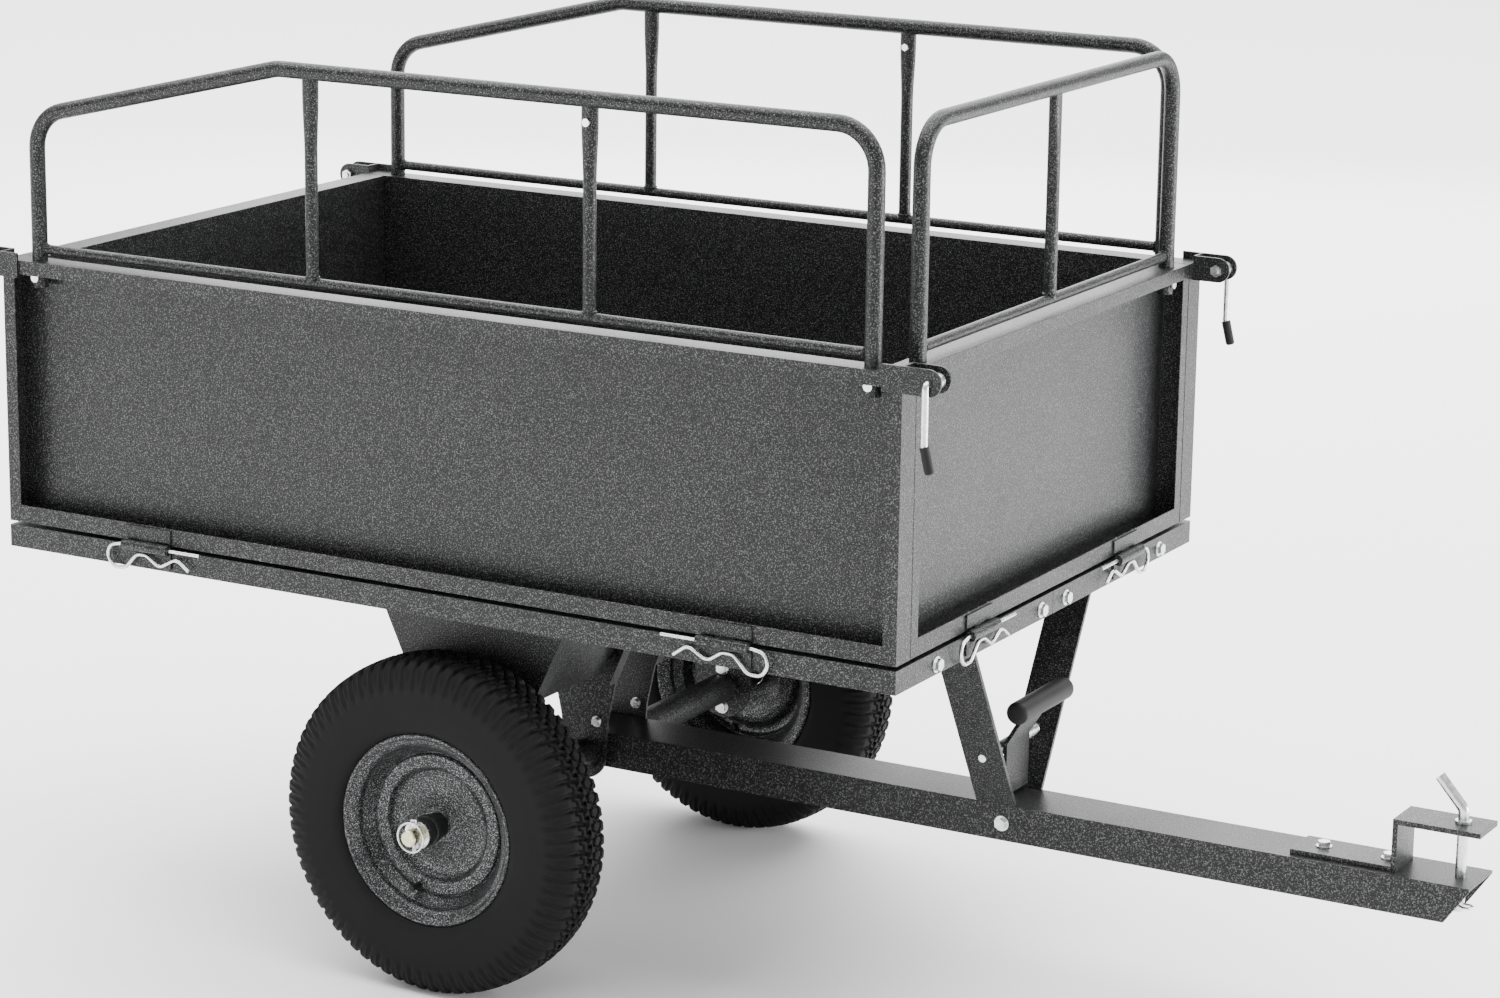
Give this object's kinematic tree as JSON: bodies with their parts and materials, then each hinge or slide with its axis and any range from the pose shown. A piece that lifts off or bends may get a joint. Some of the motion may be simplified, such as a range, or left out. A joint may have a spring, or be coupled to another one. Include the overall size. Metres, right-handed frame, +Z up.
{
  "type": "tow behind cart",
  "caption": "Two-wheel tow behind dump cart: folding steel panels with guard rails on a tilting bed, pneumatic tyres, foot pedal latch and a drawbar with a pin hitch.",
  "frame": {"origin": "centre of the bounding box in X and Y, on the ground under the wheels", "axes": "+X towards the hitch, +Y to the cart's left, +Z up"},
  "size_m": [1.795, 0.872, 1.0805],
  "materials": {
    "hammered_coat": "charcoal hammered powder coat",
    "rim_coat": "coarse hammered powder coat",
    "zinc": "bright zinc plate",
    "tyre": "matte black rubber",
    "grip_rubber": "matte black rubber"
  },
  "bodies": {
    "drawbar": {"tongue": "hammered_coat", "hitch_bracket": "hammered_coat", "hitch_bolts": "zinc", "tongue_bolt": "zinc", "latch_striker": "hammered_coat"},
    "hitch_pin": {"hitch_pin": "zinc"},
    "hitch_clip": {"hitch_clip": "zinc"},
    "bed": {"floor_left": "hammered_coat", "floor_right": "hammered_coat", "axle_bracket_left": "hammered_coat", "axle_bracket_right": "hammered_coat", "pivot_bracket_left": "hammered_coat", "pivot_bracket_right": "hammered_coat", "saddle_left": "hammered_coat", "saddle_right": "hammered_coat", "strut_left": "hammered_coat", "strut_right": "hammered_coat", "axle": "zinc", "axle_tubes": "hammered_coat", "axle_washers": "zinc", "linch_pins": "zinc", "bed_bolts": "zinc", "hinge_leaves_fixed": "hammered_coat", "hinge_clips": "zinc", "pedal_pin": "zinc", "pedal_spring": "zinc"},
    "pedal": {"pedal": "hammered_coat", "pedal_grip": "grip_rubber"},
    "front_panel": {"front_panel": "hammered_coat", "front_guard": "hammered_coat", "front_guard_screws": "zinc", "front_leaves": "hammered_coat"},
    "rear_panel": {"rear_panel": "hammered_coat", "rear_leaves": "hammered_coat"},
    "wheel_left": {"tyre_left": "tyre", "rim_left": "rim_coat", "hub_left": "hammered_coat", "valve_left": "grip_rubber"},
    "side_panel_left": {"side_panel_left": "hammered_coat", "side_guard_left": "hammered_coat", "side_guard_screws_left": "zinc", "latch_brackets_left": "hammered_coat", "side_leaves_left": "hammered_coat"},
    "latch_front_left": {"latch_lever_front_left": "zinc", "latch_grip_front_left": "grip_rubber"},
    "latch_rear_left": {"latch_lever_rear_left": "zinc", "latch_grip_rear_left": "grip_rubber"},
    "wheel_right": {"tyre_right": "tyre", "rim_right": "rim_coat", "hub_right": "hammered_coat", "valve_right": "grip_rubber"},
    "side_panel_right": {"side_panel_right": "hammered_coat", "side_guard_right": "hammered_coat", "side_guard_screws_right": "zinc", "latch_brackets_right": "hammered_coat", "side_leaves_right": "hammered_coat"},
    "latch_front_right": {"latch_lever_front_right": "zinc", "latch_grip_front_right": "grip_rubber"},
    "latch_rear_right": {"latch_lever_rear_right": "zinc", "latch_grip_rear_right": "grip_rubber"}
  },
  "joints": [
    {"name": "dump", "type": "hinge", "parent": "drawbar", "child": "bed", "pos_m": [-0.2455, 0, 0.203], "axis": [0, -1, 0], "range_deg": [0, 38]},
    {"name": "hitch_pin_lift", "type": "slide", "parent": "drawbar", "child": "hitch_pin", "axis": [0, 0, 1], "range_m": [0, 0.025]},
    {"name": "hitch_clip_pull", "type": "slide", "parent": "hitch_pin", "child": "hitch_clip", "axis": [1, 0, 0], "range_m": [0, 0.03]},
    {"name": "pedal_press", "type": "hinge", "parent": "bed", "child": "pedal", "pos_m": [0.3115, 0, 0.297], "axis": [0, 1, 0], "range_deg": [0, 18], "stiffness_Nm_per_rad": 6, "springref_deg": -8.59},
    {"name": "wheel_left_roll", "type": "hinge", "parent": "bed", "child": "wheel_left", "pos_m": [-0.2455, 0.36, 0.203], "axis": [0, 1, 0], "continuous": true},
    {"name": "side_panel_left_fold", "type": "hinge", "parent": "bed", "child": "side_panel_left", "pos_m": [-0.2455, 0.402, 0.488], "axis": [-1, 0, 0], "range_deg": [0, 140]},
    {"name": "latch_front_left_turn", "type": "hinge", "parent": "side_panel_left", "child": "latch_front_left", "pos_m": [0.3915, 0.395, 0.808], "axis": [0, -1, 0], "range_deg": [0, 170]},
    {"name": "latch_rear_left_turn", "type": "hinge", "parent": "side_panel_left", "child": "latch_rear_left", "pos_m": [-0.8825, 0.395, 0.808], "axis": [0, 1, 0], "range_deg": [0, 170]},
    {"name": "wheel_right_roll", "type": "hinge", "parent": "bed", "child": "wheel_right", "pos_m": [-0.2455, -0.36, 0.203], "axis": [0, 1, 0], "continuous": true},
    {"name": "side_panel_right_fold", "type": "hinge", "parent": "bed", "child": "side_panel_right", "pos_m": [-0.2455, -0.402, 0.488], "axis": [1, 0, 0], "range_deg": [0, 140]},
    {"name": "latch_front_right_turn", "type": "hinge", "parent": "side_panel_right", "child": "latch_front_right", "pos_m": [0.3915, -0.395, 0.808], "axis": [0, -1, 0], "range_deg": [0, 170]},
    {"name": "latch_rear_right_turn", "type": "hinge", "parent": "side_panel_right", "child": "latch_rear_right", "pos_m": [-0.8825, -0.395, 0.808], "axis": [0, 1, 0], "range_deg": [0, 170]},
    {"name": "front_panel_fold", "type": "hinge", "parent": "bed", "child": "front_panel", "pos_m": [0.3665, 0, 0.488], "axis": [0, 1, 0], "range_deg": [0, 100]},
    {"name": "rear_panel_fold", "type": "hinge", "parent": "bed", "child": "rear_panel", "pos_m": [-0.8575, 0, 0.488], "axis": [0, -1, 0], "range_deg": [0, 175]}
  ]
}
